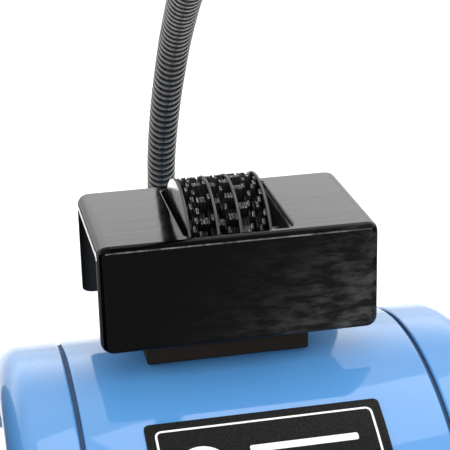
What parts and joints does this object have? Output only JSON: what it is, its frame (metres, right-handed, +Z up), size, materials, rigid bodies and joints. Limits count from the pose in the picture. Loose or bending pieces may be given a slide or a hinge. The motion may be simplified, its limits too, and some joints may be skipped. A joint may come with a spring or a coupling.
{
  "type": "bench grinder",
  "caption": "Bench grinder: motor on a pedestal, wheels in guards with eye shields and tool rests, work light on a flexible neck, star-wheel dresser stored on top.",
  "frame": {"origin": "on the bench, in the middle of the four fixing holes", "axes": "+X along the spindle to the right-hand wheel, +Z up, the front faces -Y"},
  "size_m": [0.3702, 0.3395, 0.4544],
  "materials": {
    "blue_paint": "gloss, sprayed",
    "guard_paint": "semi-gloss black powder coat",
    "channel_paint": "gloss black, brushed on",
    "black_plastic": "matt moulded",
    "block_plastic": "matt moulded",
    "neck_coating": "satin black coated steel strip",
    "lamp_paint": "gloss black outside",
    "rubber": "matt",
    "steel": "turned and ground",
    "zinc": "zinc plated",
    "cutter_steel": "hardened, blackened",
    "disc_steel": "hardened, dark",
    "laminations": "varnished sheet steel",
    "rotor_alloy": "cast cage and laminations",
    "copper": "enamelled winding wire",
    "abrasive_grey": "coarse abrasive grain",
    "abrasive_white": "fine abrasive grain",
    "blotter_paper": "pressed paper",
    "label_film": "printed film, speckled",
    "clear_sheet": "clear polycarbonate",
    "red_plastic": "gloss",
    "white_plastic": "matt",
    "bulb_glass": "frosted"
  },
  "bodies": {
    "motor": {"base_casting": "blue_paint", "base_cover": "guard_paint", "rubber_feet": "rubber", "base_screws": "zinc", "switch_body": "black_plastic", "capacitor": "white_plastic", "capacitor_clip": "zinc", "terminal_block": "white_plastic", "cable_gland": "black_plastic", "motor_sleeve": "blue_paint", "left_end_shield": "blue_paint", "right_end_shield": "blue_paint", "tie_bolts": "zinc", "stator_core": "laminations", "stator_windings": "copper", "bearing_outer_rings": "steel", "bearing_balls": "steel", "wave_washer": "zinc", "rating_label": "label_film", "left_guard": "guard_paint", "right_guard": "guard_paint", "guard_covers": "guard_paint", "guard_screws": "zinc", "deflector_knobs": "black_plastic", "rest_brackets": "guard_paint", "rest_knobs": "black_plastic", "shield_pivots": "black_plastic", "lamp_socket": "black_plastic", "neck_root": "neck_coating"},
    "spindle": {"spindle_shaft": "steel", "rotor": "rotor_alloy", "bearing_inner_rings": "steel", "left_wheel": "abrasive_grey", "right_wheel": "abrasive_white", "inner_flanges": "steel", "outer_flanges": "steel", "blotters": "blotter_paper", "spindle_nuts": "zinc"},
    "rocker": {"switch_rocker": "red_plastic"},
    "left_shield": {"left_eye_shield": "clear_sheet", "left_shield_arm": "guard_paint"},
    "right_shield": {"right_eye_shield": "clear_sheet", "right_shield_arm": "guard_paint"},
    "left_rest_slide": {"left_rest": "steel"},
    "right_rest_slide": {"right_rest": "steel"},
    "left_deflector_slide": {"left_deflector": "zinc"},
    "right_deflector_slide": {"right_deflector": "zinc"},
    "neck_lower_part": {"neck_lower": "neck_coating"},
    "neck_middle_part": {"neck_middle": "neck_coating"},
    "neck_upper_part": {"neck_upper": "neck_coating"},
    "lamp_head": {"lamp_shade": "lamp_paint", "lamp_bulb": "bulb_glass"},
    "light_button": {"lamp_button": "red_plastic"},
    "dresser": {"dresser_channel": "channel_paint", "cutter_block": "block_plastic", "cutter_pin": "steel", "spacer_discs": "disc_steel"},
    "left_stars": {"left_cutters": "cutter_steel"},
    "middle_stars": {"middle_cutters": "cutter_steel"},
    "right_stars": {"right_cutters": "cutter_steel"}
  },
  "joints": [
    {"name": "spindle_spin", "type": "hinge", "parent": "motor", "child": "spindle", "pos_m": [0, 0, 0.16], "axis": [1, 0, 0], "continuous": true},
    {"name": "rocker_tilt", "type": "hinge", "parent": "motor", "child": "rocker", "pos_m": [0, -0.06359, 0.05], "axis": [-1, 0, 0], "range_deg": [0, 16]},
    {"name": "left_shield_tilt", "type": "hinge", "parent": "motor", "child": "left_shield", "pos_m": [-0.1093, -0.0309, 0.25511], "axis": [-1, 0, 0], "range_deg": [-8, 60]},
    {"name": "right_shield_tilt", "type": "hinge", "parent": "motor", "child": "right_shield", "pos_m": [0.1093, -0.0309, 0.25511], "axis": [-1, 0, 0], "range_deg": [-8, 60]},
    {"name": "left_rest_adjust", "type": "slide", "parent": "motor", "child": "left_rest_slide", "axis": [0, -1, 0], "range_m": [0, 0.015]},
    {"name": "right_rest_adjust", "type": "slide", "parent": "motor", "child": "right_rest_slide", "axis": [0, -1, 0], "range_m": [0, 0.015]},
    {"name": "left_deflector_adjust", "type": "slide", "parent": "motor", "child": "left_deflector_slide", "axis": [0, -0.5, 0.866], "range_m": [0, 0.007]},
    {"name": "right_deflector_adjust", "type": "slide", "parent": "motor", "child": "right_deflector_slide", "axis": [0, -0.5, 0.866], "range_m": [0, 0.007]},
    {"name": "dresser_lift", "type": "slide", "parent": "motor", "child": "dresser", "axis": [0, -0.5736, 0.8192], "range_m": [0, 0.035]},
    {"name": "left_cutters_spin", "type": "hinge", "parent": "dresser", "child": "left_stars", "pos_m": [-0.0095, 0.00988, 0.255], "axis": [1, 0, 0], "continuous": true},
    {"name": "middle_cutters_spin", "type": "hinge", "parent": "dresser", "child": "middle_stars", "pos_m": [-0.003, 0.00988, 0.255], "axis": [1, 0, 0], "continuous": true},
    {"name": "right_cutters_spin", "type": "hinge", "parent": "dresser", "child": "right_stars", "pos_m": [0.0037, 0.00988, 0.255], "axis": [1, 0, 0], "continuous": true},
    {"name": "neck_bend", "type": "hinge", "parent": "motor", "child": "neck_lower_part", "pos_m": [-0.0002, 0.1305, 0.175], "axis": [1, 0, 0], "range_deg": [-15, 5]},
    {"name": "neck_bend_middle", "type": "hinge", "parent": "neck_lower_part", "child": "neck_middle_part", "pos_m": [-0.0095, -0.002, 0.3295], "axis": [1, 0, 0], "range_deg": [-15, 5]},
    {"name": "neck_bend_upper", "type": "hinge", "parent": "neck_middle_part", "child": "neck_upper_part", "pos_m": [-0.01, -0.049, 0.404], "axis": [1, 0, 0], "range_deg": [-15, 5]},
    {"name": "lamp_tilt", "type": "hinge", "parent": "neck_upper_part", "child": "lamp_head", "pos_m": [-0.01, -0.129, 0.436], "axis": [1, 0, 0], "range_deg": [-25, 25]},
    {"name": "lamp_button_press", "type": "slide", "parent": "lamp_head", "child": "light_button", "axis": [0, 0.6157, -0.788], "range_m": [0, 0.002], "stiffness_N_per_m": 400}
  ],
  "couplings": [
    {"joint": "neck_bend_middle", "follows": "neck_bend", "ratio": 1},
    {"joint": "neck_bend_upper", "follows": "neck_bend", "ratio": 1}
  ]
}
